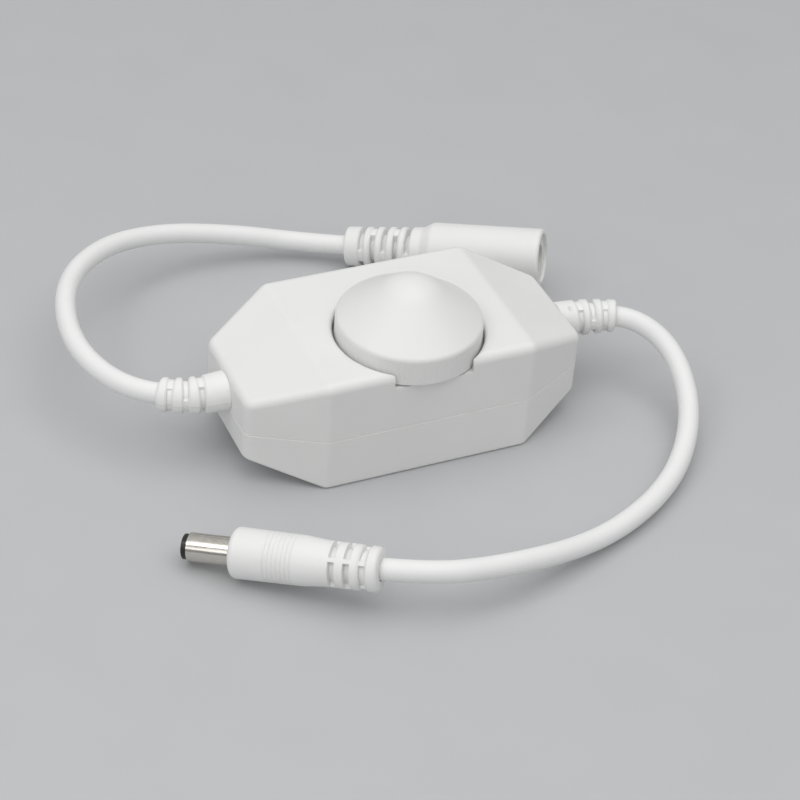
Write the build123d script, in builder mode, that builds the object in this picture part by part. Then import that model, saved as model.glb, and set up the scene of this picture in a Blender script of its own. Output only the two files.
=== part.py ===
from build123d import *
import os
from math import cos, pi, radians, sin, tan

os.makedirs("parts", exist_ok=True)

# In-line rotary dimmer for low-voltage lamp strips, in millimetres.
# Origin: middle of the underside of the case. +X along the case to the output end, +Y to the back, +Z up.

# Case
case_length = 71.0
case_width = 36.6
case_height = 24.7
flat_length = 42.2
end_width = 21.8
end_top = 18.8
end_bottom = 5.7
parting_height = 11.6
wall = 2.0
crease_radius = 4.0
end_corner_radius = 2.6
side_corner_radius = 2.2
top_edge_radius = 1.8
base_edge_radius = 0.8
parting_chamfer = 0.15
lip_height = 1.4
lip_gap = 0.15

# Dial and its recess
dial_y = -5.3
dial_radius = 14.4
dial_rim_height = 27.6
dial_slope = 37.0
dial_tip_radius = 9.5
dial_rim_radius = 1.2
dial_foot_radius = 0.3
dial_wall = 1.6
dial_hub_radius = 5.0
dial_roof = 5.8
rib_count = 72
rib_depth = 0.05
rib_width = 0.35
rib_margin = 0.8
recess_clearance = 0.45
recess_floor = 21.4
recess_wall = 1.8
recess_edge_radius = 0.8
notch_width = 16.4
dial_floor_gap = 0.35
hub_lift = 0.3

# Circuit board and its posts
board_length = 40.0
board_width = 26.0
board_thickness = 1.6
standoff_height = 6.0
standoff_radius = 1.8
pin_radius = 0.9
pin_height = 1.0
hole_clearance = 0.15
standoff_x = 17.4
standoff_y = 10.3
ledge_x = 12.0

# Case screws
screw_x = 18.5
screw_y = 12.2
screw_radius = 1.2
screw_hole_clearance = 0.25
screw_head_radius = 2.1
screw_head_height = 1.5
screw_head_clearance = 0.2
screw_sink = 3.0
screw_grip = 7.0
screw_slot_width = 0.6
screw_slot_depth = 0.7
post_radius = 2.7
post_board_clearance = 0.5
thread_clearance = 0.02

# Potentiometer
pot_radius = 8.0
pot_height = 7.0
pot_wall = 0.9
track_thickness = 0.8
track_hole_radius = 2.6
track_clearance = 0.1
plate_thickness = 0.8
bush_radius = 3.5
bush_height = 3.5
bush_clearance = 0.25
shaft_radius = 3.0
shaft_clearance = 0.05
shaft_flat_depth = 1.5
shaft_collar_radius = 4.2
shaft_stub_radius = 2.0
shaft_end_gap = 0.25
hub_clearance = 0.03
wiper_radius = 6.2
wiper_thickness = 1.2
wiper_track_gap = 0.9
terminal_pitch = 5.0
terminal_width = 1.0
terminal_thickness = 0.5
terminal_reach = 1.8
terminal_level = 3.0
lead_length = 1.4

# Parts mounted on the board
chip_length = 5.2
chip_width = 5.3
chip_height = 1.8
chip_lift = 0.2
chip_span = 7.8
chip_leg_width = 0.4
chip_leg_thickness = 0.25
chip_leg_pitch = 1.27
chip_place = (-13.0, -4.0)
transistor_length = 6.1
transistor_width = 6.6
transistor_height = 2.3
transistor_tab = 1.2
transistor_leg = 2.6
transistor_leg_width = 0.8
transistor_leg_pitch = 2.28
transistor_plate = 0.5
transistor_place = (13.4, -1.5)
diode_length = 4.4
diode_width = 3.6
diode_height = 2.3
diode_cap = 0.35
diode_place = (6.5, 10.0)
capacitor_radius = 4.0
capacitor_height = 9.0
capacitor_base = 8.3
capacitor_base_height = 1.0
capacitor_groove = 0.3
capacitor_place = (-10.5, 7.0)
resistor_length = 3.2
resistor_width = 1.6
resistor_height = 0.6
resistor_places = [(-2.0, 8.8), (-2.0, 11.4), (13.4, 6.4)]

# Cords and their strain reliefs
cord_diameter = 4.2
cord_inside = 4.9
input_lead = 8.5
output_lead = 5.6
slot_edge = 0.35
cable_height = 14.4
neck_radius = 3.0
neck_clearance = 0.1
flange_radius = 3.9
flange_thickness = 1.6
relief_length = 12.8
relief_base_radius = 3.95
relief_tip_radius = 3.3
relief_collar = 4.5
relief_groove = 1.0
relief_grooves = 3
relief_core_radius = 2.8
relief_top_bridge = 3.0
relief_side_bridge = 2.2
relief_edge = 0.6
core_radius = 0.75
core_spread = 0.95
core_straight = 2.5
core_pad_x = 18.5
core_pad_y = 2.4
core_bend_radius = 1.5

# Female jack, measured from its tail along its axis
jack_tail = Vector(11.74, 51.47, 4.31)
jack_mouth = Vector(46.06, 26.26, 10.5)
jack_radius = 6.15
jack_tail_radius = 4.2
jack_neck_radius = 5.0
jack_shoulder_start = 17.0
jack_shoulder_length = 2.1
jack_tail_edge = 0.5
jack_neck_blend = 1.5
jack_shoulder_blend = 2.0
jack_mouth_edge = 0.8
jack_first_groove = 3.75
jack_groove_pitch = 2.55
jack_grooves = 5
jack_groove = 1.0
jack_core_radius = 2.9
jack_bridge = 2.6
jack_rim = 1.0
jack_rim_depth = 0.6
jack_insert_length = 16.0
jack_bore_radius = 2.8
jack_bore_depth = 9.5
jack_pin_radius = 1.0
jack_pin_set_back = 0.8
jack_pin_root = 3.0
jack_root_radius = 1.4
jack_spring_width = 2.0
jack_spring_thickness = 0.4
jack_spring_length = 7.5
jack_slot_depth = 0.7
jack_slot_clearance = 0.2
jack_cord_depth = 9.0

# Male plug, measured from the nose of its grip towards the cord
plug_nose = Vector(-45.98, -34.29, 4.9)
plug_tail = Vector(-24.36, -51.99, 9.3)
plug_roll = 39.0
plug_radius = 4.8
plug_shoulder_radius = 4.66
plug_tail_radius = 4.2
plug_nose_edge = 1.1
plug_tail_edge = 1.0
plug_ease_start = 13.4
plug_ease_length = 5.0
plug_ease_radius = 20.0
plug_first_ring = 7.0
plug_ring_pitch = 0.85
plug_rings = 7
plug_ring_width = 0.4
plug_ring_depth = 0.14
plug_first_groove = 19.8
plug_groove_pitch = 2.83
plug_grooves = 3
plug_groove = 1.15
plug_core_radius = 3.2
plug_bridge = 0.9
plug_barrel_radius = 2.75
plug_barrel_wall = 0.65
plug_barrel_length = 8.5
plug_tip_length = 1.1
plug_tip_radius = 2.4
plug_tip_clearance = 0.25
plug_bore_radius = 1.05
plug_bore_depth = 9.0
plug_contact_wall = 0.4
plug_root = 5.0
plug_root_radius = 2.4
plug_cord_depth = 9.0

# Routes of the cords, from the inside of the case to the inside of the connector
input_route = [
    (cord_inside - case_length / 2, 0.0, cable_height),
    (-case_length / 2 - input_lead, 0.0, cable_height),
    (-54.8, 8.9, 13.9),
    (-59.2, 24.4, 14.6),
    (-54.8, 42.6, 15.0),
    (-43.0, 55.4, 13.1),
    (-28.3, 60.4, 10.3),
    (-11.7, 59.9, 6.8),
    (4.9, 56.1, 3.4),
    tuple(jack_tail + (jack_mouth - jack_tail).normalized() * jack_cord_depth),
]
output_route = [
    (case_length / 2 - cord_inside, 0.0, cable_height),
    (case_length / 2 + output_lead, 0.0, cable_height),
    (51.0, -3.5, 15.0),
    (56.9, -11.4, 11.4),
    (55.5, -23.7, 6.3),
    (47.1, -36.3, 3.4),
    (35.1, -45.6, 2.7),
    (19.3, -52.2, 3.0),
    (-1.5, -57.3, 8.0),
    (-18.3, -56.9, 10.5),
    tuple(plug_tail + (plug_nose - plug_tail).normalized() * plug_cord_depth),
]

# Values worked out from the sizes above
half_length = case_length / 2
half_width = case_width / 2
half_flat = flat_length / 2
half_end = end_width / 2
case_plan = [(half_flat, half_width), (half_length, half_end), (half_length, -half_end), (half_flat, -half_width)]
case_plan += [(-x, -y) for x, y in case_plan]
case_side = [(half_flat, case_height), (half_length, end_top), (half_length, end_bottom), (half_flat, 0)]
case_side += [(-x, z) for x, z in reversed(case_side)]
parting = Plane.XY.offset(parting_height)
recess_radius = dial_radius + recess_clearance
dial_bottom = recess_floor + dial_floor_gap
board_bottom = wall + standoff_height
board_top = board_bottom + board_thickness
pot_top = board_top + pot_height
wiper_bottom = board_top + pot_wall + track_thickness + wiper_track_gap
wiper_top = wiper_bottom + wiper_thickness
dial_plane = Plane(origin=(0, dial_y, 0), x_dir=(1, 0, 0), z_dir=(0, -1, 0))
dial_axis = Axis((0, dial_y, 0), (0, 0, 1))
screw_places = [(-screw_x, screw_y), (screw_x, -screw_y)]
pin_places = [(-standoff_x, -standoff_y), (standoff_x, standoff_y)]
ledge_places = [(-ledge_x, standoff_y), (ledge_x, -standoff_y)]
core_pads = [(end * core_pad_x, side * core_pad_y) for end in (-1, 1) for side in (-1, 1)]
terminal_row = dial_y + pot_radius + terminal_reach
terminal_places = [(step * terminal_pitch, terminal_row) for step in (-1, 0, 1)]


def save(piece, label):
    """Label a finished piece and write it."""
    piece.label = label
    export_step(piece, f"parts/{label}.step")


def outline_face(plane, points, inset):
    """Sketch of a closed outline, drawn the inset inside it."""
    with BuildSketch(plane) as outline:
        with BuildLine():
            Polyline(*points, close=True)
        make_face()
        if inset:
            offset(amount=-inset, kind=Kind.INTERSECTION)
    return outline.sketch


def case_block(inset):
    """The eight-sided bar with sloped ends, drawn the inset inside its outer faces."""
    plan = outline_face(Plane.XY, case_plan, inset)
    side = outline_face(Plane.XZ, case_side, inset)
    with BuildPart() as block:
        extrude(plan, amount=case_length, both=True)
        extrude(side, amount=case_length, both=True, mode=Mode.INTERSECT)
    return block.part


def wall_ring(outer, inner, height):
    """A ring that follows the wall of the case up from the parting line, between two insets."""
    outside = outline_face(parting, case_plan, outer)
    inside = outline_face(parting, case_plan, inner)
    with BuildPart() as ring:
        extrude(outside, amount=height)
        extrude(inside, amount=height, mode=Mode.SUBTRACT)
    return ring.part


def along(start, end):
    """A plane at the start whose x axis points at the end, with its y axis as upright as it can be."""
    axis = (end - start).normalized()
    return Plane(origin=start, x_dir=axis, z_dir=axis.cross(Vector(0, 0, 1)))


def across(origin, heading):
    """A plane square to a heading, with its x axis level."""
    return Plane(origin=origin, x_dir=Vector(0, 0, 1).cross(heading), z_dir=heading)


def slots(cuts, core, count, width):
    """Cutter for the slots of a sleeve: rings with flared edges down to the core, less the bridges left standing."""
    reach = 2 * core
    flares = []
    for plane, turn, bridge, top in cuts:
        mouth = width / 2 + reach - top
        section = [(-width / 2, top), (width / 2, top), (mouth, reach), (-mouth, reach)]
        flares.append(turned(along(plane.origin, plane.origin + plane.z_dir), section))
    with BuildPart() as cutter:
        add(flares)
        for plane, turn, bridge, top in cuts:
            with BuildSketch(plane):
                Circle(reach)
                Circle(core, mode=Mode.SUBTRACT)
                with PolarLocations(reach / 2, count, start_angle=turn):
                    Rectangle(reach, bridge, mode=Mode.SUBTRACT)
            extrude(amount=width / 2, both=True)
    return cutter.part


def turned(frame, outline):
    """A solid turned about the x axis of a plane, from half its section."""
    with BuildPart() as body:
        with BuildSketch(frame):
            with BuildLine():
                Polyline(*outline, close=True)
            make_face()
        revolve(axis=Axis(frame.origin, frame.x_dir))
    return body.part


def cord(name, route):
    """A round cord along straight runs, with arcs as large as the runs allow, and its middle line."""
    points = [Vector(*point) for point in route]
    runs = [after - before for before, after in zip(points, points[1:])]
    radii = []
    for first, second in zip(runs, runs[1:]):
        half_turn = radians(first.get_angle(second)) / 2
        radii.append(0.45 * min(first.length, second.length) / tan(half_turn))
    with BuildPart() as tube:
        with BuildLine() as path:
            FilletPolyline(*points, radius=radii)
        with BuildSketch(Plane(origin=points[0], z_dir=runs[0])):
            Circle(cord_diameter / 2)
        sweep()
    length = path.wire().length
    share = tube.part.volume / (pi * cord_diameter**2 / 4 * length)
    print(name, "length", round(length, 1), "volume share", round(share, 4), "radii", [round(r, 1) for r in radii])
    return tube.part, path.wire()


def strain_relief(tube, path, end):
    """Flange, neck and slotted sleeve round a cord where it leaves one end of the case."""
    start = half_length - abs(path.position_at(0).X)
    steps = 6
    stations = []
    for step in range(steps + 1):
        distance = start + relief_length * step / steps
        middle = path.position_at(distance, position_mode=PositionMode.LENGTH)
        stations.append(across(middle, path.tangent_at(distance, position_mode=PositionMode.LENGTH)))
    pitch = (relief_length - relief_collar) / relief_grooves
    cuts = []
    for groove in range(relief_grooves):
        distance = relief_collar + relief_groove / 2 + pitch * groove
        middle = path.position_at(start + distance, position_mode=PositionMode.LENGTH)
        heading = path.tangent_at(start + distance, position_mode=PositionMode.LENGTH)
        radius = relief_base_radius + (relief_tip_radius - relief_base_radius) * distance / relief_length
        turn, bridge = (0, relief_side_bridge) if groove % 2 else (90, relief_top_bridge)
        cuts.append((across(middle, heading), turn, bridge, radius - slot_edge))
    cutter = slots(cuts, relief_core_radius, 2, relief_groove)
    with BuildPart() as sleeve:
        for step, plane in enumerate(stations):
            with BuildSketch(plane):
                Circle(relief_base_radius + (relief_tip_radius - relief_base_radius) * step / steps)
        loft()
        rim = sleeve.faces().sort_by_distance(stations[-1].origin)[0].edges()
        fillet(rim, relief_edge)
        add(cutter, mode=Mode.SUBTRACT)
        with BuildSketch(Plane(origin=(end * half_length, 0, cable_height), z_dir=(-end, 0, 0))):
            Circle(neck_radius)
        extrude(amount=wall)
        with BuildSketch(Plane(origin=(end * (half_length - wall), 0, cable_height), z_dir=(-end, 0, 0))):
            Circle(flange_radius)
        extrude(amount=flange_thickness)
        add(tube, mode=Mode.SUBTRACT)
    return sleeve.part


def core(end, side, jacket_end):
    """One insulated core, from the end of the jacket to its hole in the board."""
    inside = -end
    start = (jacket_end, side * core_spread, cable_height)
    pad = (end * core_pad_x, side * core_pad_y)
    with BuildPart() as wire:
        with BuildLine():
            FilletPolyline(
                start,
                (jacket_end + inside * core_straight, side * core_spread, cable_height),
                (*pad, cable_height),
                (*pad, board_bottom - lead_length),
                radius=core_bend_radius,
            )
        with BuildSketch(Plane(origin=start, z_dir=(inside, 0, 0))):
            Circle(core_radius)
        sweep()
    return wire.part


# Case, before it is hollowed and parted
case_solid = case_block(0)
with BuildPart() as case:
    add(case_solid)
    creases = case.edges().filter_by(Axis.Y).filter_by(lambda edge: abs(edge.center().X) < half_flat + 0.1)
    fillet(creases, crease_radius)
    fillet(case.edges().filter_by(Axis.Z).group_by(SortBy.LENGTH)[0], end_corner_radius)
    fillet(case.edges().filter_by(Axis.Z).group_by(SortBy.LENGTH)[-1], side_corner_radius)
    sides = case.faces().filter_by(lambda face: abs(face.normal_at().Z) < 0.05)
    rims = sides.edges().filter_by(lambda edge: abs(edge.tangent_at(0.5).Z) < 0.9)
    fillet(rims.filter_by(lambda edge: edge.center().Z > parting_height), top_edge_radius)
    sides = case.faces().filter_by(lambda face: abs(face.normal_at().Z) < 0.05)
    rims = sides.edges().filter_by(lambda edge: abs(edge.tangent_at(0.5).Z) < 0.9)
    fillet(rims.filter_by(lambda edge: edge.center().Z < parting_height), base_edge_radius)

# Hollow of the case, which leaves the floor and wall of the dial recess standing
hollow_solid = case_block(wall)
with BuildPart() as hollow:
    add(hollow_solid)
    with BuildSketch(Plane.XY.offset(recess_floor - recess_wall)):
        with Locations((0, dial_y)):
            Circle(recess_radius + recess_wall)
    extrude(amount=case_height, mode=Mode.SUBTRACT)

# Way of the cords through the end walls, with room behind them for the flanges
with BuildPart() as cable_way:
    with BuildSketch(Plane.YZ):
        with Locations((0, cable_height)):
            Circle(neck_radius + neck_clearance)
    extrude(amount=case_length, both=True)
    with BuildSketch(Plane.YZ):
        with Locations((0, cable_height)):
            Circle(flange_radius + neck_clearance)
    extrude(amount=half_length - wall, both=True)

# Round recess of the dial with a softly rounded edge, and the notch where it opens in the front wall
with BuildPart() as recess:
    with BuildSketch(dial_plane):
        with BuildLine():
            edge_foot = (recess_radius, case_height - recess_edge_radius)
            edge_share = recess_edge_radius * (1 - cos(radians(45)))
            edge_middle = (recess_radius + edge_share, case_height - edge_share)
            edge_top = (recess_radius + recess_edge_radius, case_height)
            Polyline((0, recess_floor), (recess_radius, recess_floor), edge_foot)
            ThreePointArc(edge_foot, edge_middle, edge_top)
            Polyline(edge_top, (edge_top[0], 2 * case_height), (0, 2 * case_height), (0, recess_floor))
        make_face()
    revolve(axis=dial_axis)
    with BuildSketch(Plane.XY.offset(recess_floor)):
        with Locations((0, dial_y)):
            Rectangle(notch_width, case_width, align=(Align.CENTER, Align.MAX))
    extrude(amount=case_height)

lip_room = wall_ring(wall / 2, wall, lip_height + lip_gap)
lip = wall_ring(wall / 2 + lip_gap, wall, lip_height)

with BuildPart() as top_cover:
    add(case.part)
    split(bisect_by=parting, keep=Keep.TOP)
    chamfer(top_cover.faces().sort_by(Axis.Z)[0].edges(), parting_chamfer)
    add(hollow.part, mode=Mode.SUBTRACT)
    with BuildSketch(parting):
        with Locations(*screw_places):
            Circle(post_radius)
    extrude(amount=case_height - wall / 2 - parting_height)
    add(recess.part, mode=Mode.SUBTRACT)
    add(lip_room, mode=Mode.SUBTRACT)
    add(cable_way.part, mode=Mode.SUBTRACT)
    with BuildSketch(parting):
        with Locations(*screw_places):
            Circle(screw_radius + thread_clearance)
    extrude(amount=screw_grip + 1, mode=Mode.SUBTRACT)
    with BuildSketch(Plane.XY.offset(recess_floor)):
        with Locations((0, dial_y)):
            Circle(bush_radius + bush_clearance)
    extrude(amount=-2 * recess_wall, mode=Mode.SUBTRACT)
save(top_cover.part, "top_cover")

with BuildPart() as bottom_cover:
    add(case.part)
    split(bisect_by=parting, keep=Keep.BOTTOM)
    chamfer(bottom_cover.faces().sort_by(Axis.Z)[-1].edges(), parting_chamfer)
    add(hollow.part, mode=Mode.SUBTRACT)
    add(lip)
    with BuildSketch(Plane.XY.offset(wall / 2)):
        with Locations(*screw_places):
            Circle(post_radius)
    extrude(amount=parting_height - wall / 2)
    with BuildSketch(Plane.XY.offset(wall / 2)):
        with Locations(*pin_places, *ledge_places):
            Circle(standoff_radius)
    extrude(amount=board_bottom - wall / 2)
    with BuildSketch(Plane.XY.offset(board_bottom)):
        with Locations(*pin_places):
            Circle(pin_radius)
    extrude(amount=board_thickness + pin_height)
    add(cable_way.part, mode=Mode.SUBTRACT)
    with BuildSketch():
        with Locations(*screw_places):
            Circle(screw_radius + screw_hole_clearance)
    extrude(amount=parting_height, mode=Mode.SUBTRACT)
    with BuildSketch():
        with Locations(*screw_places):
            Circle(screw_head_radius + screw_head_clearance)
    extrude(amount=screw_sink, mode=Mode.SUBTRACT)
save(bottom_cover.part, "bottom_cover")

with BuildPart() as case_screws:
    with BuildSketch(Plane.XY.offset(screw_sink - screw_head_height)):
        with Locations(*screw_places):
            Circle(screw_head_radius)
    extrude(amount=screw_head_height)
    with BuildSketch(Plane.XY.offset(screw_sink)):
        with Locations(*screw_places):
            Circle(screw_radius)
    extrude(amount=parting_height + screw_grip - screw_sink)
    with BuildSketch(Plane.XY.offset(screw_sink - screw_head_height)):
        with Locations(*screw_places):
            Rectangle(1.3 * screw_head_radius, screw_slot_width)
            Rectangle(screw_slot_width, 1.3 * screw_head_radius)
    extrude(amount=screw_slot_depth, mode=Mode.SUBTRACT)
save(case_screws.part, "case_screws")

# Circuit board with notches round the screw posts and holes for the leads that pass through it
with BuildPart() as circuit_board:
    with BuildSketch(Plane.XY.offset(board_bottom)):
        Rectangle(board_length, board_width)
        with Locations(*screw_places):
            Circle(post_radius + post_board_clearance, mode=Mode.SUBTRACT)
        with Locations(*pin_places):
            Circle(pin_radius + hole_clearance, mode=Mode.SUBTRACT)
        with Locations(*terminal_places):
            Circle(terminal_width / 2 + hole_clearance, mode=Mode.SUBTRACT)
        with Locations(*core_pads):
            Circle(core_radius + hole_clearance, mode=Mode.SUBTRACT)
    extrude(amount=board_thickness)
save(circuit_board.part, "circuit_board")

with BuildPart() as potentiometer_body:
    with BuildSketch(Plane.XY.offset(board_top)):
        with Locations((0, dial_y)):
            Circle(pot_radius)
    extrude(amount=pot_height)
    with BuildSketch(Plane.XY.offset(board_top + pot_wall)):
        with Locations((0, dial_y)):
            Circle(pot_radius - pot_wall)
    extrude(amount=pot_height, mode=Mode.SUBTRACT)
save(potentiometer_body.part, "potentiometer_body")

with BuildPart() as potentiometer_track:
    with BuildSketch(Plane.XY.offset(board_top + pot_wall)):
        with Locations((0, dial_y)):
            Circle(pot_radius - pot_wall - track_clearance)
            Circle(track_hole_radius, mode=Mode.SUBTRACT)
    extrude(amount=track_thickness)
save(potentiometer_track.part, "potentiometer_track")

with BuildPart() as potentiometer_plate:
    with BuildSketch(Plane.XY.offset(pot_top)):
        with Locations((0, dial_y)):
            Circle(pot_radius)
    extrude(amount=plate_thickness)
    with BuildSketch(Plane.XY.offset(pot_top)):
        with Locations((0, dial_y)):
            Circle(bush_radius)
    extrude(amount=plate_thickness + bush_height)
    with BuildSketch(Plane.XY.offset(pot_top)):
        with Locations((0, dial_y)):
            Circle(shaft_radius + shaft_clearance)
    extrude(amount=case_height, mode=Mode.SUBTRACT)
save(potentiometer_plate.part, "potentiometer_plate")

# Three legs that leave the side of the potentiometer and turn down through the board
leg_top = board_top + terminal_level
leg_front = terminal_row - terminal_thickness / 2
with BuildPart() as potentiometer_terminals:
    for place_x, place_y in terminal_places:
        with BuildSketch(Plane.YZ.offset(place_x)):
            with BuildLine():
                Polyline(
                    (dial_y, leg_top),
                    (leg_front + terminal_thickness, leg_top),
                    (leg_front + terminal_thickness, board_bottom - lead_length),
                    (leg_front, board_bottom - lead_length),
                    (leg_front, leg_top - terminal_thickness),
                    (dial_y, leg_top - terminal_thickness),
                    close=True,
                )
            make_face()
        extrude(amount=terminal_width / 2, both=True)
    with BuildSketch():
        with Locations((0, dial_y)):
            Circle(pot_radius)
    extrude(amount=case_height, mode=Mode.SUBTRACT)
save(potentiometer_terminals.part, "potentiometer_terminals")

with BuildPart() as potentiometer_wiper:
    with BuildSketch(Plane.XY.offset(wiper_bottom)):
        with Locations((0, dial_y)):
            Circle(wiper_radius)
            Circle(shaft_stub_radius + hub_clearance, mode=Mode.SUBTRACT)
    extrude(amount=wiper_thickness)
save(potentiometer_wiper.part, "potentiometer_wiper")

# Dial: a ribbed skirt under a cone with a rounded tip, hollow, with a hub for the flatted shaft
slope = radians(dial_slope)
cone_peak = dial_rim_height + dial_radius * tan(slope)
tip_centre = cone_peak - dial_tip_radius / cos(slope)
tip_top = tip_centre + dial_tip_radius
tip_edge = (dial_tip_radius * sin(slope), tip_centre + dial_tip_radius * cos(slope))
tip_middle = (dial_tip_radius * sin(slope / 2), tip_centre + dial_tip_radius * cos(slope / 2))
inner_radius = dial_radius - dial_wall
inner_peak = cone_peak - dial_wall / cos(slope)
hub_foot = dial_bottom + hub_lift
bore_top = tip_top - dial_roof
shaft_top = bore_top - shaft_end_gap
flat_y = dial_y + shaft_radius - shaft_flat_depth
with BuildPart() as dial_knob:
    with BuildSketch(dial_plane):
        with BuildLine():
            FilletPolyline(
                (0, dial_bottom),
                (dial_radius, dial_bottom),
                (dial_radius, dial_rim_height),
                tip_edge,
                radius=[dial_foot_radius, dial_rim_radius],
            )
            ThreePointArc(tip_edge, tip_middle, (0, tip_top))
            Line((0, tip_top), (0, dial_bottom))
        make_face()
    revolve(axis=dial_axis)
    with BuildSketch(dial_plane):
        with BuildLine():
            Polyline(
                (0, 0),
                (inner_radius, 0),
                (inner_radius, inner_peak - inner_radius * tan(slope)),
                (dial_hub_radius, inner_peak - dial_hub_radius * tan(slope)),
                (dial_hub_radius, hub_foot),
                (0, hub_foot),
                close=True,
            )
        make_face()
    revolve(axis=dial_axis, mode=Mode.SUBTRACT)
    with BuildSketch():
        with Locations((0, dial_y)):
            Circle(shaft_radius + hub_clearance)
        with Locations((0, flat_y + hub_clearance)):
            Rectangle(3 * shaft_radius, 3 * shaft_radius, align=(Align.CENTER, Align.MIN), mode=Mode.SUBTRACT)
    extrude(amount=bore_top, mode=Mode.SUBTRACT)
    with BuildSketch(Plane.XY.offset(dial_bottom + rib_margin)):
        with Locations((0, dial_y)):
            with PolarLocations(dial_radius, rib_count):
                Polygon((-rib_depth, 0), (rib_depth, -rib_width), (rib_depth, rib_width), align=None)
    extrude(amount=dial_rim_height - dial_bottom - 2 * rib_margin, mode=Mode.SUBTRACT)
save(dial_knob.part, "dial_knob")

with BuildPart() as potentiometer_shaft:
    with BuildSketch(Plane.XY.offset(wiper_bottom)):
        with Locations((0, dial_y)):
            Circle(shaft_stub_radius)
    extrude(amount=wiper_thickness)
    with BuildSketch(Plane.XY.offset(wiper_top)):
        with Locations((0, dial_y)):
            Circle(shaft_collar_radius)
    extrude(amount=pot_top - shaft_end_gap - wiper_top)
    with BuildSketch(Plane.XY.offset(wiper_top)):
        with Locations((0, dial_y)):
            Circle(shaft_radius)
    extrude(amount=shaft_top - wiper_top)
    with BuildSketch(Plane.XY.offset(dial_bottom)):
        with Locations((0, flat_y)):
            Rectangle(3 * shaft_radius, 3 * shaft_radius, align=(Align.CENTER, Align.MIN))
    extrude(amount=shaft_top, mode=Mode.SUBTRACT)
save(potentiometer_shaft.part, "potentiometer_shaft")

# Parts that stand on the board
with BuildPart() as timer_chip:
    with BuildSketch(Plane.XY.offset(board_top + chip_lift)):
        with Locations(chip_place):
            Rectangle(chip_width, chip_length)
    extrude(amount=chip_height)
    leg_rows = [(step - 1.5) * chip_leg_pitch for step in range(4)]
    for row in leg_rows:
        for side in (-1, 1):
            with BuildSketch(Plane.XZ.offset(-chip_place[1] - row)):
                with BuildLine():
                    outer = chip_place[0] + side * chip_span / 2
                    knee = chip_place[0] + side * (chip_width / 2 + chip_leg_thickness + chip_lift)
                    body = chip_place[0] + side * chip_width / 4
                    level = board_top + chip_lift + chip_height / 2
                    Polyline(
                        (body, level),
                        (knee, level),
                        (knee, board_top + chip_leg_thickness),
                        (outer, board_top + chip_leg_thickness),
                        (outer, board_top),
                        (knee - side * chip_leg_thickness, board_top),
                        (knee - side * chip_leg_thickness, level - chip_leg_thickness),
                        (body, level - chip_leg_thickness),
                        close=True,
                    )
                make_face()
            extrude(amount=chip_leg_width / 2, both=True)
save(timer_chip.part, "timer_chip")

with BuildPart() as power_transistor:
    tab_end = transistor_place[1] + transistor_length / 2 + transistor_tab
    leg_end = transistor_place[1] - transistor_length / 2 - transistor_leg
    with BuildSketch(Plane.XY.offset(board_top + transistor_plate)):
        with Locations(transistor_place):
            Rectangle(transistor_width, transistor_length)
    extrude(amount=transistor_height - transistor_plate)
    with BuildSketch(Plane.XY.offset(board_top)):
        with Locations((transistor_place[0], tab_end)):
            Rectangle(
                transistor_width - transistor_leg_width,
                transistor_tab + transistor_length / 2,
                align=(Align.CENTER, Align.MAX),
            )
        with Locations(*[(transistor_place[0] + side * transistor_leg_pitch, leg_end) for side in (-1, 1)]):
            Rectangle(transistor_leg_width, transistor_leg + transistor_length / 4, align=(Align.CENTER, Align.MIN))
    extrude(amount=transistor_plate)
save(power_transistor.part, "power_transistor")

with BuildPart() as flyback_diode:
    with BuildSketch(Plane.XY.offset(board_top)):
        with Locations(diode_place):
            Rectangle(diode_length, diode_width)
    extrude(amount=diode_height)
    with BuildSketch(Plane.XY.offset(board_top)):
        with Locations(diode_place):
            Rectangle(diode_length + 2 * diode_cap, diode_width / 2)
    extrude(amount=diode_height / 2)
save(flyback_diode.part, "flyback_diode")

with BuildPart() as filter_capacitor:
    with BuildSketch(Plane.XY.offset(board_top)):
        with Locations(capacitor_place):
            Rectangle(capacitor_base, capacitor_base)
    extrude(amount=capacitor_base_height)
    with BuildSketch(Plane.XY.offset(board_top + capacitor_base_height)):
        with Locations(capacitor_place):
            Circle(capacitor_radius - capacitor_groove)
    extrude(amount=capacitor_groove)
    with BuildSketch(Plane.XY.offset(board_top + capacitor_base_height + capacitor_groove)):
        with Locations(capacitor_place):
            Circle(capacitor_radius)
    extrude(amount=capacitor_height - capacitor_base_height - capacitor_groove)
    fillet(filter_capacitor.faces().sort_by(Axis.Z)[-1].edges(), capacitor_groove)
save(filter_capacitor.part, "filter_capacitor")

with BuildPart() as resistors:
    with BuildSketch(Plane.XY.offset(board_top)):
        with Locations(*resistor_places):
            Rectangle(resistor_length, resistor_width)
    extrude(amount=resistor_height)
save(resistors.part, "resistors")

# Cords, their inner cores and the strain reliefs at the case
input_tube, input_path = cord("input_cable", input_route)
output_tube, output_path = cord("output_cable", output_route)
save(input_tube, "input_cable")
save(output_tube, "output_cable")
save(strain_relief(input_tube, input_path, -1), "input_strain_relief")
save(strain_relief(output_tube, output_path, 1), "output_strain_relief")
save(core(-1, 1, input_route[0][0]), "input_positive_core")
save(core(-1, -1, input_route[0][0]), "input_negative_core")
save(core(1, 1, output_route[0][0]), "output_positive_core")
save(core(1, -1, output_route[0][0]), "output_negative_core")

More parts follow.
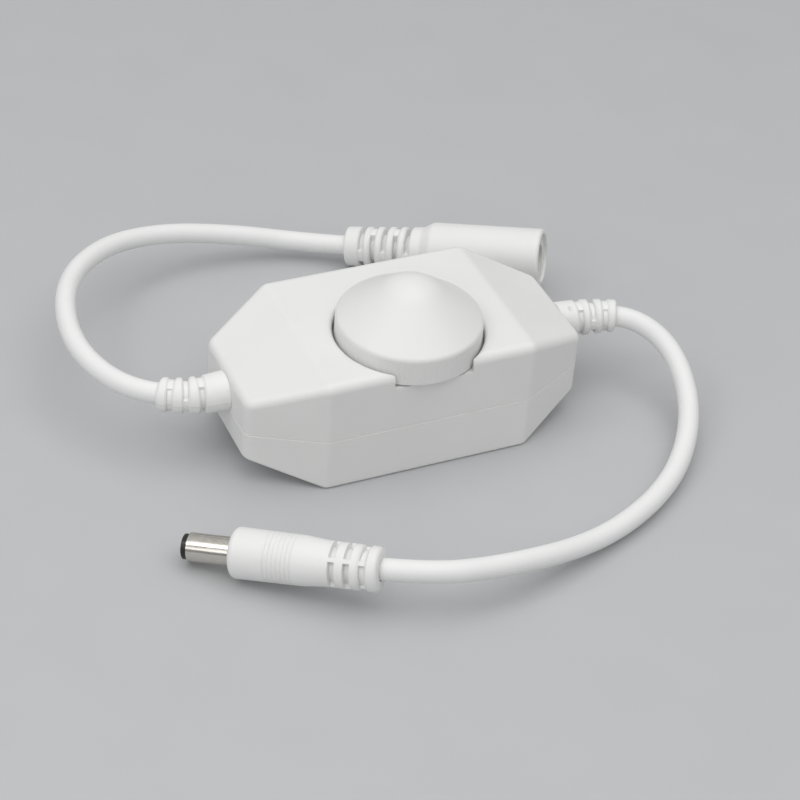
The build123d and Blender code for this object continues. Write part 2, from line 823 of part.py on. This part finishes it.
# Female jack
jack_frame = along(jack_tail, jack_mouth)
jack_heading = jack_frame.x_dir
jack_length = (jack_mouth - jack_tail).length
jack_face = jack_length - jack_rim_depth
insert_radius = jack_radius - jack_rim
insert_back = jack_face - jack_insert_length
bore_back = jack_face - jack_bore_depth
pin_back = bore_back - jack_pin_root
jack_cuts = []
for groove in range(jack_grooves):
    distance = jack_first_groove + groove * jack_groove_pitch
    radius = jack_tail_radius + (jack_neck_radius - jack_tail_radius) * distance / jack_shoulder_start
    plane = across(jack_tail + jack_heading * distance, jack_heading)
    jack_cuts.append((plane, 90 * (groove % 2), jack_bridge, radius - slot_edge))
jack_slots = slots(jack_cuts, jack_core_radius, 2, jack_groove)
jack_room = turned(
    jack_frame,
    [(insert_back, 0), (insert_back, insert_radius), (2 * jack_length, insert_radius), (2 * jack_length, 0)],
)
with BuildPart() as jack_body:
    with BuildSketch(jack_frame):
        with BuildLine():
            FilletPolyline(
                (0, 0),
                (0, jack_tail_radius),
                (jack_shoulder_start, jack_neck_radius),
                (jack_shoulder_start + jack_shoulder_length, jack_radius),
                (jack_length, jack_radius),
                (jack_length, 0),
                radius=[jack_tail_edge, jack_neck_blend, jack_shoulder_blend, jack_mouth_edge],
            )
            Line((jack_length, 0), (0, 0))
        make_face()
    revolve(axis=Axis(jack_tail, jack_heading))
    add(jack_slots, mode=Mode.SUBTRACT)
    add(jack_room, mode=Mode.SUBTRACT)
    add(input_tube, mode=Mode.SUBTRACT)
save(jack_body.part, "jack_body")

# Socket of the jack with its centre pin and the contact strip in a slot above the bore
pin_solid = turned(
    jack_frame,
    [
        (pin_back, 0),
        (pin_back, jack_root_radius),
        (bore_back, jack_root_radius),
        (bore_back, jack_pin_radius),
        (jack_face - jack_pin_set_back, jack_pin_radius),
        (jack_face - jack_pin_set_back, 0),
    ],
)
insert_solid = turned(
    jack_frame,
    [
        (insert_back, 0),
        (insert_back, insert_radius),
        (jack_face, insert_radius),
        (jack_face, jack_bore_radius),
        (bore_back, jack_bore_radius),
        (bore_back, 0),
    ],
)
slot_roof = jack_bore_radius + jack_slot_depth
with BuildPart() as jack_insert:
    add(insert_solid)
    with BuildSketch(jack_frame):
        with BuildLine():
            Polyline((bore_back, 0), (bore_back, slot_roof), (jack_face, slot_roof), (jack_face, 0), close=True)
        make_face()
    extrude(amount=jack_spring_width / 2 + jack_slot_clearance, both=True, mode=Mode.SUBTRACT)
    add(pin_solid, mode=Mode.SUBTRACT)
save(jack_insert.part, "jack_insert")
save(pin_solid, "jack_pin")

with BuildPart() as jack_spring:
    with BuildSketch(jack_frame):
        with BuildLine():
            dip = slot_roof - jack_slot_depth + jack_spring_thickness
            spring_ends = [(bore_back, slot_roof), (bore_back + jack_spring_length / 3, slot_roof)]
            spring_ends += [(bore_back + 2 * jack_spring_length / 3, dip)]
            spring_ends += [(bore_back + jack_spring_length, slot_roof)]
            under = [(u, r - jack_spring_thickness) for u, r in reversed(spring_ends)]
            Polyline(*spring_ends, *under, close=True)
        make_face()
    extrude(amount=jack_spring_width / 2, both=True)
save(jack_spring.part, "jack_spring")

# Male plug: grip, nickel barrel, insulating liner with its dark tip, and the contact tube inside
plug_frame = along(plug_nose, plug_tail)
plug_heading = plug_frame.x_dir
plug_length = (plug_tail - plug_nose).length
plug_cuts = []
for groove in range(plug_grooves):
    middle = plug_nose + plug_heading * (plug_first_groove + groove * plug_groove_pitch)
    plug_cuts.append((across(middle, plug_heading), plug_roll, plug_bridge, plug_tail_radius - slot_edge))
plug_slots = slots(plug_cuts, plug_core_radius, 4, plug_groove)
barrel_bore = plug_barrel_radius - plug_barrel_wall
contact_radius = plug_bore_radius + plug_contact_wall
barrel_room = turned(
    plug_frame,
    [(0, 0), (0, plug_root_radius), (plug_root, plug_root_radius), (plug_root, 0)],
)
with BuildPart() as plug_grip:
    with BuildSketch(plug_frame):
        with BuildLine():
            FilletPolyline(
                (0, 0),
                (0, plug_radius),
                (plug_ease_start, plug_shoulder_radius),
                (plug_ease_start + plug_ease_length, plug_tail_radius),
                (plug_length, plug_tail_radius),
                (plug_length, 0),
                radius=[plug_nose_edge, plug_ease_radius, plug_ease_radius, plug_tail_edge],
            )
            Line((plug_length, 0), (0, 0))
        make_face()
    revolve(axis=Axis(plug_nose, plug_heading))
    with BuildSketch(plug_frame):
        fall = (plug_radius - plug_shoulder_radius) / plug_ease_start
        for ring in range(plug_rings):
            middle = plug_first_ring + ring * plug_ring_pitch
            top = plug_radius - fall * middle
            with BuildLine():
                Polyline(
                    (middle, top - plug_ring_depth),
                    (middle + plug_ring_width, top + plug_ring_depth),
                    (middle - plug_ring_width, top + plug_ring_depth),
                    close=True,
                )
            make_face()
    revolve(axis=Axis(plug_nose, plug_heading), mode=Mode.SUBTRACT)
    add(plug_slots, mode=Mode.SUBTRACT)
    add(barrel_room, mode=Mode.SUBTRACT)
    add(output_tube, mode=Mode.SUBTRACT)
save(plug_grip.part, "plug_grip")

barrel_solid = turned(
    plug_frame,
    [
        (-plug_barrel_length, barrel_bore),
        (-plug_barrel_length, plug_barrel_radius),
        (0, plug_barrel_radius),
        (0, plug_root_radius),
        (plug_root, plug_root_radius),
        (plug_root, barrel_bore),
    ],
)
save(barrel_solid, "plug_barrel")

tip_face = -plug_barrel_length - plug_tip_length
insulator_solid = turned(
    plug_frame,
    [
        (tip_face, plug_bore_radius + plug_tip_clearance),
        (tip_face, plug_tip_radius),
        (-plug_barrel_length, plug_tip_radius),
        (-plug_barrel_length, barrel_bore),
        (plug_root, barrel_bore),
        (plug_root, contact_radius),
        (-plug_barrel_length, contact_radius),
        (-plug_barrel_length, plug_bore_radius + plug_tip_clearance),
    ],
)
save(insulator_solid, "plug_insulator")

contact_solid = turned(
    plug_frame,
    [
        (-plug_barrel_length, plug_bore_radius),
        (-plug_barrel_length, contact_radius),
        (plug_root, contact_radius),
        (plug_root, 0),
        (plug_bore_depth - plug_barrel_length, 0),
        (plug_bore_depth - plug_barrel_length, plug_bore_radius),
    ],
)
save(contact_solid, "plug_contact")
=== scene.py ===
"""In-line rotary dimmer for LED strips, dressed over its CAD frame: finishes, cords, stage, camera."""

import math

import bpy
from bpy.props import FloatProperty, FloatVectorProperty, PointerProperty
from mathutils import Matrix, Vector


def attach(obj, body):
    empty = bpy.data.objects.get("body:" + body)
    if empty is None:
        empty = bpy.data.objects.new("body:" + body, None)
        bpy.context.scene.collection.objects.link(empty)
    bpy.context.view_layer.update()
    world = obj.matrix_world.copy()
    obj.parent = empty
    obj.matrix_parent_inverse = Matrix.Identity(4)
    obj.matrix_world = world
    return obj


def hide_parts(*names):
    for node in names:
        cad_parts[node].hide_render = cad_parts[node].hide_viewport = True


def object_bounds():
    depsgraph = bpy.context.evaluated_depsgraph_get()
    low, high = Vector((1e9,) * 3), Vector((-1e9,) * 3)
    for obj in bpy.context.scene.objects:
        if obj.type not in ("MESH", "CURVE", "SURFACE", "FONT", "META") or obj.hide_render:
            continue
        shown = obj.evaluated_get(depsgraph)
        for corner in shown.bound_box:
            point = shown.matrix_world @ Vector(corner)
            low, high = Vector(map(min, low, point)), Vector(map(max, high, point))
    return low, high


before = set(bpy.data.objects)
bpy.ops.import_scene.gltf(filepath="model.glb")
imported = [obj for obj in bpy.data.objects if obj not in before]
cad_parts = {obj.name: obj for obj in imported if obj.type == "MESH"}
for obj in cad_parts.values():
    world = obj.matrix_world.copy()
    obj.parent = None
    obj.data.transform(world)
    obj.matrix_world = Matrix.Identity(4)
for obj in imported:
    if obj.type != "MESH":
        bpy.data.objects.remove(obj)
CAD_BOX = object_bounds()

bl_info = {
    "name": "LED strip dimmer",
    "version": (1, 0, 0),
    "blender": (4, 5, 0),
    "location": "View3D > Sidebar > Dimmer",
    "description": "Dresses an in-line rotary dimmer with its finishes, cords and stage",
    "category": "Object",
}

MM = 0.001

# Round dimple on the collar at the output end of the case, in millimetres
DIMPLE = (38.2, -1.3, 18.0)

# Relief of the surfaces: moulding grain, marks of the mould, scratches and the rounding of moulded edges
GRAIN_RELIEF = 0.1 * MM
MARK_RELIEF = 0.33 * MM
SCRATCH_RELIEF = 0.05 * MM
SCRATCH_STRENGTH = 0.04
SOFT_EDGE = 0.32 * MM

# How far the gloss of plastic and of metal wanders over the surface
PLASTIC_GLOSS = 0.05
METAL_GLOSS = 0.1

# Lamps of the stage, each named as its power is: place, target and width in metres
LAMPS = (
    ("key", (0.03, -0.10, 0.68), (0, 0, 0), 0.8),
    ("accent", (-0.41, -0.02, 0.49), (-0.05, -0.03, 0), 0.16),
    ("fill", (-0.45, -0.35, 0.35), (0, 0, 0.01), 0.35),
)
FLOOR_REACH = 4.0

# Routes of the two cords in millimetres, from inside the case to inside the connector
INPUT_ROUTE = (
    (-30.6, 0.0, 14.4),
    (-44.0, 0.0, 14.4),
    (-54.8, 8.9, 13.9),
    (-59.2, 24.4, 14.6),
    (-54.8, 42.6, 15.0),
    (-43.0, 55.4, 13.1),
    (-28.3, 60.4, 10.3),
    (-11.7, 59.9, 6.8),
    (4.9, 56.1, 3.4),
    (18.918, 46.197, 5.605),
)
OUTPUT_ROUTE = (
    (30.6, 0.0, 14.4),
    (41.1, 0.0, 14.4),
    (51.0, -3.5, 15.0),
    (56.9, -11.4, 11.4),
    (55.5, -23.7, 6.3),
    (47.1, -36.3, 3.4),
    (35.1, -45.6, 2.7),
    (19.3, -52.2, 3.0),
    (-1.5, -57.3, 8.0),
    (-18.3, -56.9, 10.5),
    (-31.239, -46.358, 7.900),
)


def colour(name, description, default):
    """A colour property of a finish."""
    return FloatVectorProperty(
        name=name, description=description, subtype="COLOR", size=3, min=0, max=1, default=default
    )


def amount(name, description, default, unit="NONE", least=0.0):
    """A number property with its unit and its lowest value."""
    return FloatProperty(name=name, description=description, default=default, min=least, unit=unit)


def angle(name, description, degrees):
    """An angle property."""
    return FloatProperty(name=name, description=description, default=math.radians(degrees), unit="ROTATION")


class DimmerFinish(bpy.types.PropertyGroup):
    """Colours of the dimmer's materials."""

    case_white: colour("Case", "Moulded plastic of the case and the dial", (0.81, 0.81, 0.80))
    sleeve_white: colour("Sleeves", "Softer plastic of the strain reliefs, grip and jack", (0.84, 0.84, 0.83))
    cord_white: colour("Cords", "Jacket of the cords", (0.85, 0.85, 0.845))
    nickel: colour("Nickel", "Plating of the contacts", (0.68, 0.655, 0.605))
    black: colour("Black plastic", "Tip of the plug and the bodies of the components", (0.012, 0.012, 0.013))
    socket: colour("Socket", "Insulating socket inside the jack", (0.78, 0.78, 0.75))
    zinc: colour("Zinc", "Plating of the screws and the potentiometer", (0.56, 0.56, 0.57))
    board: colour("Board", "Solder mask of the circuit board", (0.012, 0.11, 0.045))
    track: colour("Track", "Carbon track of the potentiometer", (0.02, 0.017, 0.014))
    can: colour("Can", "Sleeve of the capacitor's can", (0.68, 0.68, 0.69))
    positive: colour("Positive core", "Insulation of the positive core", (0.45, 0.02, 0.015))


class DimmerCords(bpy.types.PropertyGroup):
    """Sizes of the cords."""

    diameter: amount("Diameter", "Outside of the cord's jacket", 4.2 * MM, "LENGTH", 0.001)
    input_length: amount("Input length", "Length of the input cord", 0.1448, "LENGTH", 0.03)
    output_length: amount("Output length", "Length of the output cord", 0.1463, "LENGTH", 0.03)


class DimmerStage(bpy.types.PropertyGroup):
    """Floor, lamps and camera."""

    floor: colour("Floor", "Plain floor under the dimmer", (0.50, 0.505, 0.515))
    sky: amount("Sky", "Strength of the soft light straight above", 0.75)
    horizon: amount("Horizon", "Strength of the soft light low down", 0.28)
    key: amount("Key", "Power of the large lamp above", 2.1, "POWER")
    fill: amount("Fill", "Power of the lamp in front", 0.5, "POWER")
    accent: amount("Accent", "Power of the small lamp at the left", 0.28, "POWER")
    place: FloatVectorProperty(
        name="Camera",
        description="Place of the camera",
        default=(-0.16013, -0.32789, 0.28953),
        size=3,
        subtype="XYZ",
        unit="LENGTH",
    )
    azimuth: angle("Azimuth", "Side the camera looks from", -26.32172)
    elevation: angle("Elevation", "Height the camera looks from", 38.11674)
    roll: angle("Roll", "Turn of the camera", -4.82597)
    lens: amount("Lens", "Focal length in millimetres", 104.057, least=10.0)


def node_group(name, inputs, outputs):
    """An empty shader node group with its sockets, and its input and output nodes."""
    group = bpy.data.node_groups.new(name, "ShaderNodeTree")
    for socket, value in inputs.items():
        kind = "NodeSocketFloat" if isinstance(value, float) else "NodeSocketVector"
        made = group.interface.new_socket(socket, in_out="INPUT", socket_type=kind)
        made.default_value = value
    for socket in outputs:
        group.interface.new_socket(socket, in_out="OUTPUT", socket_type="NodeSocketFloat")
    return group, group.nodes.new("NodeGroupInput"), group.nodes.new("NodeGroupOutput")


def moulded_grain():
    """Fine grain of moulded plastic with broad soft mottling, built once."""
    name = "Moulded grain"
    if name in bpy.data.node_groups:
        return bpy.data.node_groups[name]
    inputs = {"Grain scale": 4000.0, "Mottle scale": 60.0}
    group, given, result = node_group(name, inputs, ("Grain", "Mottle"))
    place = group.nodes.new("ShaderNodeTexCoord")
    for socket, detail, output in (("Grain scale", 2.0, "Grain"), ("Mottle scale", 3.0, "Mottle")):
        noise = group.nodes.new("ShaderNodeTexNoise")
        noise.inputs["Detail"].default_value = detail
        group.links.new(place.outputs["Object"], noise.inputs["Vector"])
        group.links.new(given.outputs[socket], noise.inputs["Scale"])
        group.links.new(noise.outputs["Fac"], result.inputs[output])
    return group


def fine_scratches():
    """Short drawn-out marks of plated or turned metal, built once."""
    name = "Fine scratches"
    if name in bpy.data.node_groups:
        return bpy.data.node_groups[name]
    group, given, result = node_group(name, {"Scale": 900.0, "Stretch": 12.0}, ("Mark",))
    place = group.nodes.new("ShaderNodeTexCoord")
    join = group.nodes.new("ShaderNodeCombineXYZ")
    join.inputs["X"].default_value = 1.0
    join.inputs["Y"].default_value = 1.0
    scaled = group.nodes.new("ShaderNodeVectorMath")
    scaled.operation = "MULTIPLY"
    noise = group.nodes.new("ShaderNodeTexNoise")
    noise.inputs["Detail"].default_value = 4.0
    group.links.new(given.outputs["Stretch"], join.inputs["Z"])
    group.links.new(place.outputs["Object"], scaled.inputs[0])
    group.links.new(join.outputs["Vector"], scaled.inputs[1])
    group.links.new(scaled.outputs["Vector"], noise.inputs["Vector"])
    group.links.new(given.outputs["Scale"], noise.inputs["Scale"])
    group.links.new(noise.outputs["Fac"], result.inputs["Mark"])
    return group


def mould_marks():
    """Height of the line where the halves of a mould met and of a round dimple, built once."""
    name = "Mould marks"
    if name in bpy.data.node_groups:
        return bpy.data.node_groups[name]
    inputs = {
        "Line level": 14.4 * MM,
        "Line width": 0.22 * MM,
        "Dimple": (0.0, 0.0, 0.0),
        "Dimple radius": 0.95 * MM,
    }
    line_height = 0.15
    dimple_depth = 1.0
    group, given, result = node_group(name, inputs, ("Height",))
    nodes, links = group.nodes, group.links
    place = nodes.new("ShaderNodeTexCoord")
    split = nodes.new("ShaderNodeSeparateXYZ")
    links.new(place.outputs["Object"], split.inputs["Vector"])
    above = nodes.new("ShaderNodeMath")
    above.operation = "SUBTRACT"
    links.new(split.outputs["Z"], above.inputs[0])
    links.new(given.outputs["Line level"], above.inputs[1])
    off_line = nodes.new("ShaderNodeMath")
    off_line.operation = "ABSOLUTE"
    links.new(above.outputs["Value"], off_line.inputs[0])
    off_dimple = nodes.new("ShaderNodeVectorMath")
    off_dimple.operation = "DISTANCE"
    links.new(place.outputs["Object"], off_dimple.inputs[0])
    links.new(given.outputs["Dimple"], off_dimple.inputs[1])
    height = nodes.new("ShaderNodeMath")
    height.operation = "SUBTRACT"
    marks = ((off_line, "Line width", line_height), (off_dimple, "Dimple radius", dimple_depth))
    for index, (distance, reach, most) in enumerate(marks):
        fade = nodes.new("ShaderNodeMapRange")
        fade.interpolation_type = "SMOOTHSTEP"
        fade.inputs["To Min"].default_value = most
        fade.inputs["To Max"].default_value = 0.0
        links.new(distance.outputs["Value"], fade.inputs["Value"])
        links.new(given.outputs[reach], fade.inputs["From Max"])
        links.new(fade.outputs["Result"], height.inputs[index])
    links.new(height.outputs["Value"], result.inputs["Height"])
    return group


def shades(nodes, links, mask, base, change):
    """A ramp from a slightly darker to the full colour, driven by a mask."""
    ramp = nodes.new("ShaderNodeValToRGB")
    ramp.color_ramp.elements[0].position = 0.3
    ramp.color_ramp.elements[1].position = 0.7
    ramp.color_ramp.elements[0].color = (*[c * (1 - change) for c in base], 1)
    ramp.color_ramp.elements[1].color = (*base, 1)
    links.new(mask, ramp.inputs["Fac"])
    return ramp.outputs["Color"]


def spread(nodes, links, mask, low, high):
    """A mask mapped to a range of values."""
    span = nodes.new("ShaderNodeMapRange")
    span.inputs["From Min"].default_value = 0.3
    span.inputs["From Max"].default_value = 0.7
    span.inputs["To Min"].default_value = low
    span.inputs["To Max"].default_value = high
    links.new(mask, span.inputs["Value"])
    return span.outputs["Result"]


def new_material(name):
    """An empty material with its Principled shader."""
    material = bpy.data.materials.new(name)
    material.use_nodes = True
    nodes, links = material.node_tree.nodes, material.node_tree.links
    return material, nodes, links, nodes["Principled BSDF"]


def bumped(nodes, links, height, strength, distance, normal=None):
    """A normal bent by a height, on top of another normal where one is given."""
    bump = nodes.new("ShaderNodeBump")
    bump.inputs["Strength"].default_value = strength
    bump.inputs["Distance"].default_value = distance
    links.new(height, bump.inputs["Height"])
    if normal:
        links.new(normal, bump.inputs["Normal"])
    return bump.outputs["Normal"]


def plastic(name, base, rough, grain=4000.0, depth=0.05, change=0.03, edge=0.0, dimple=None):
    """Moulded plastic: faint mottling, uneven gloss, fine grain, soft edges and the marks of its mould."""
    material, nodes, links, shader = new_material(name)
    effect = nodes.new("ShaderNodeGroup")
    effect.node_tree = moulded_grain()
    effect.inputs["Grain scale"].default_value = grain
    normal = None
    if edge:
        bevel = nodes.new("ShaderNodeBevel")
        bevel.samples = 6
        bevel.inputs["Radius"].default_value = edge
        normal = bevel.outputs["Normal"]
    if dimple:
        marks = nodes.new("ShaderNodeGroup")
        marks.node_tree = mould_marks()
        marks.inputs["Dimple"].default_value = dimple
        normal = bumped(nodes, links, marks.outputs["Height"], 1.0, MARK_RELIEF, normal)
    normal = bumped(nodes, links, effect.outputs["Grain"], depth, GRAIN_RELIEF, normal)
    mottle = effect.outputs["Mottle"]
    gloss = spread(nodes, links, mottle, rough - PLASTIC_GLOSS, rough + PLASTIC_GLOSS)
    links.new(normal, shader.inputs["Normal"])
    links.new(shades(nodes, links, mottle, base, change), shader.inputs["Base Color"])
    links.new(gloss, shader.inputs["Roughness"])
    return material


def metal(name, base, rough, scale=900.0, stretch=12.0, change=0.12):
    """Plated metal with fine drawn-out marks."""
    material, nodes, links, shader = new_material(name)
    effect = nodes.new("ShaderNodeGroup")
    effect.node_tree = fine_scratches()
    effect.inputs["Scale"].default_value = scale
    effect.inputs["Stretch"].default_value = stretch
    mark = effect.outputs["Mark"]
    links.new(bumped(nodes, links, mark, SCRATCH_STRENGTH, SCRATCH_RELIEF), shader.inputs["Normal"])
    links.new(shades(nodes, links, mark, base, change), shader.inputs["Base Color"])
    links.new(spread(nodes, links, mark, rough, rough + METAL_GLOSS), shader.inputs["Roughness"])
    shader.inputs["Metallic"].default_value = 1.0
    return material


def dress(material, *names):
    """Give CAD nodes a material."""
    for name in names:
        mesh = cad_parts[name].data
        mesh.materials.clear()
        mesh.materials.append(material)


class DIMMER_OT_case(bpy.types.Operator):
    """Finish of the two halves of the case and their screws"""

    bl_idname = "dimmer.case"
    bl_label = "Case"

    def execute(self, context):
        finish = context.scene.dimmer_finish
        housing = plastic("Housing plastic", finish.case_white, 0.42, grain=3200.0, depth=0.06)
        dress(housing, "top_cover", "bottom_cover")
        dress(metal("Screw zinc", finish.zinc, 0.3), "case_screws")
        return {"FINISHED"}


class DIMMER_OT_dial(bpy.types.Operator):
    """Finish of the dial"""

    bl_idname = "dimmer.dial"
    bl_label = "Dial"

    def execute(self, context):
        finish = context.scene.dimmer_finish
        knob = plastic("Dial plastic", finish.case_white, 0.4, grain=3600.0, depth=0.04)
        dress(knob, "dial_knob")
        return {"FINISHED"}


class DIMMER_OT_electronics(bpy.types.Operator):
    """Finish of the board and what stands on it inside the case"""

    bl_idname = "dimmer.electronics"
    bl_label = "Electronics"

    def execute(self, context):
        finish = context.scene.dimmer_finish
        dress(plastic("Solder mask", finish.board, 0.3, grain=1500.0, change=0.15), "circuit_board")
        black = plastic("Component black", finish.black, 0.5, change=0.2)
        dress(black, "timer_chip", "power_transistor", "flyback_diode", "resistors")
        dress(black, "potentiometer_wiper")
        zinc = metal("Potentiometer zinc", finish.zinc, 0.28)
        dress(zinc, "potentiometer_body", "potentiometer_plate")
        dress(zinc, "potentiometer_shaft", "potentiometer_terminals")
        dress(plastic("Carbon track", finish.track, 0.6, change=0.3), "potentiometer_track")
        dress(metal("Capacitor can", finish.can, 0.35, scale=400.0), "filter_capacitor")
        for sign, base in (("positive", finish.positive), ("negative", finish.black)):
            core = plastic(f"{sign.capitalize()} core", base, 0.45)
            dress(core, f"input_{sign}_core", f"output_{sign}_core")
        return {"FINISHED"}


class DIMMER_OT_sleeves(bpy.types.Operator):
    """Finish of the strain reliefs at the case and of the bodies of the plug and the jack"""

    bl_idname = "dimmer.sleeves"
    bl_label = "Sleeves"

    def execute(self, context):
        finish = context.scene.dimmer_finish
        moulded = {"grain": 2600.0, "depth": 0.06, "edge": SOFT_EDGE}
        dimple = [MM * x for x in DIMPLE]
        relief = plastic("Relief plastic", finish.sleeve_white, 0.48, dimple=dimple, **moulded)
        dress(relief, "input_strain_relief", "output_strain_relief")
        grip = plastic("Grip plastic", finish.sleeve_white, 0.48, **moulded)
        dress(grip, "plug_grip", "jack_body")
        return {"FINISHED"}


class DIMMER_OT_contacts(bpy.types.Operator):
    """Finish of the contacts and insulators of the plug and the jack"""

    bl_idname = "dimmer.contacts"
    bl_label = "Contacts"

    def execute(self, context):
        finish = context.scene.dimmer_finish
        nickel = metal("Nickel plate", finish.nickel, 0.09, scale=700.0)
        dress(nickel, "plug_barrel", "plug_contact", "jack_pin", "jack_spring")
        dress(plastic("Tip black", finish.black, 0.35, change=0.2), "plug_insulator")
        dress(plastic("Socket grey", finish.socket, 0.5), "jack_insert")
        return {"FINISHED"}


class DIMMER_OT_cords(bpy.types.Operator):
    """The two round cords, each one smooth line along its route"""

    bl_idname = "dimmer.cords"
    bl_label = "Cords"

    def execute(self, context):
        finish = context.scene.dimmer_finish
        sizes = context.scene.dimmer_cords
        jacket = plastic("Cord jacket", finish.cord_white, 0.5, grain=2200.0, depth=0.06)
        plug = ["plug_grip", "plug_barrel", "plug_insulator", "plug_contact"]
        jack = ["jack_body", "jack_insert", "jack_pin", "jack_spring"]
        cords = (
            ("input_cord", INPUT_ROUTE, "input_cable", sizes.input_length, "connector", jack),
            ("output_cord", OUTPUT_ROUTE, "output_cable", sizes.output_length, "plug", plug),
        )
        for name, route, node, length, end, pieces in cords:
            curve = bpy.data.curves.new(name, "CURVE")
            curve.dimensions = "3D"
            curve.bevel_depth = sizes.diameter / 2
            curve.bevel_resolution = 8
            curve.resolution_u = 24
            curve.use_fill_caps = True
            spline = curve.splines.new("NURBS")
            spline.points.add(len(route) - 1)
            for point, place in zip(spline.points, route):
                point.co = (*[MM * x for x in place], 1)
            spline.order_u = 3
            spline.use_endpoint_u = True
            cord = bpy.data.objects.new(name, curve)
            context.scene.collection.objects.link(cord)
            curve.materials.append(jacket)
            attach(cord, "case")
            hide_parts(node)
        return {"FINISHED"}


class DIMMER_OT_stage(bpy.types.Operator):
    """Plain floor, soft lamps and the camera"""

    bl_idname = "dimmer.stage"
    bl_label = "Stage"

    def execute(self, context):
        scene = context.scene
        stage = scene.dimmer_stage
        scene.view_settings.view_transform = "Standard"

        mesh = bpy.data.meshes.new("floor")
        signs = ((-1, -1), (1, -1), (1, 1), (-1, 1))
        mesh.from_pydata([(x * FLOOR_REACH, y * FLOOR_REACH, 0) for x, y in signs], [], [(0, 1, 2, 3)])
        floor = bpy.data.objects.new("floor", mesh)
        floor.location.z = min(CAD_BOX[0].z, 0.0)
        scene.collection.objects.link(floor)
        paper = plastic("Floor", stage.floor, 0.6, grain=300.0, depth=0.0, change=0.02)
        mesh.materials.append(paper)

        world = bpy.data.worlds.new("Studio")
        world.use_nodes = True
        nodes, links = world.node_tree.nodes, world.node_tree.links
        nodes["Background"].inputs["Color"].default_value = (1, 1, 1, 1)
        look = nodes.new("ShaderNodeTexCoord")
        split = nodes.new("ShaderNodeSeparateXYZ")
        links.new(look.outputs["Generated"], split.inputs["Vector"])
        grade = nodes.new("ShaderNodeMapRange")
        grade.inputs["To Min"].default_value = stage.horizon
        grade.inputs["To Max"].default_value = stage.sky
        links.new(split.outputs["Z"], grade.inputs["Value"])
        links.new(grade.outputs["Result"], nodes["Background"].inputs["Strength"])
        scene.world = world

        for name, place, target, size in LAMPS:
            light = bpy.data.lights.new(name, "AREA")
            light.energy = getattr(stage, name)
            light.size = size
            lamp = bpy.data.objects.new(name, light)
            lamp.location = place
            aim = Vector(target) - Vector(place)
            lamp.rotation_euler = aim.to_track_quat("-Z", "Y").to_euler()
            scene.collection.objects.link(lamp)

        camera = bpy.data.objects.new("camera", bpy.data.cameras.new("camera"))
        camera.data.lens = stage.lens
        camera.data.sensor_width = 36
        camera.data.clip_start = 0.01
        turn, rise = stage.azimuth, stage.elevation
        level = math.cos(rise)
        back = Vector((math.sin(turn) * level, -math.cos(turn) * level, math.sin(rise)))
        right = Vector((math.cos(turn), math.sin(turn), 0))
        up = back.cross(right)
        axes = Matrix((right, up, back)).transposed().to_4x4()
        tilt = Matrix.Rotation(-stage.roll, 4, "Z")
        camera.matrix_world = Matrix.Translation(stage.place) @ axes @ tilt
        scene.collection.objects.link(camera)
        scene.camera = camera
        return {"FINISHED"}


class DIMMER_PT_panel(bpy.types.Panel):
    """Sizes, colours and pieces of the dimmer"""

    bl_idname = "DIMMER_PT_panel"
    bl_label = "LED strip dimmer"
    bl_space_type = "VIEW_3D"
    bl_region_type = "UI"
    bl_category = "Dimmer"

    def draw(self, context):
        layout = self.layout
        for group_name, group_class in GROUPS.items():
            box = layout.box()
            for name in group_class.__annotations__:
                box.prop(getattr(context.scene, group_name), name)
        for operator in OPERATORS:
            layout.operator(operator.bl_idname)


GROUPS = {"dimmer_finish": DimmerFinish, "dimmer_cords": DimmerCords, "dimmer_stage": DimmerStage}
OPERATORS = (
    DIMMER_OT_stage,
    DIMMER_OT_cords,
    DIMMER_OT_case,
    DIMMER_OT_dial,
    DIMMER_OT_sleeves,
    DIMMER_OT_contacts,
    DIMMER_OT_electronics,
)


def register():
    for group in (*GROUPS.values(), *OPERATORS, DIMMER_PT_panel):
        bpy.utils.register_class(group)
    for name, group in GROUPS.items():
        setattr(bpy.types.Scene, name, PointerProperty(type=group))


def unregister():
    for name in GROUPS:
        delattr(bpy.types.Scene, name)
    for group in reversed((*GROUPS.values(), *OPERATORS, DIMMER_PT_panel)):
        bpy.utils.unregister_class(group)


def main():
    register()
    bpy.ops.dimmer.stage()
    bpy.ops.dimmer.cords()
    bpy.ops.dimmer.case()
    bpy.ops.dimmer.dial()
    bpy.ops.dimmer.sleeves()
    bpy.ops.dimmer.contacts()
    bpy.ops.dimmer.electronics()
    bpy.context.view_layer.update()


if __name__ == "__main__":
    main()
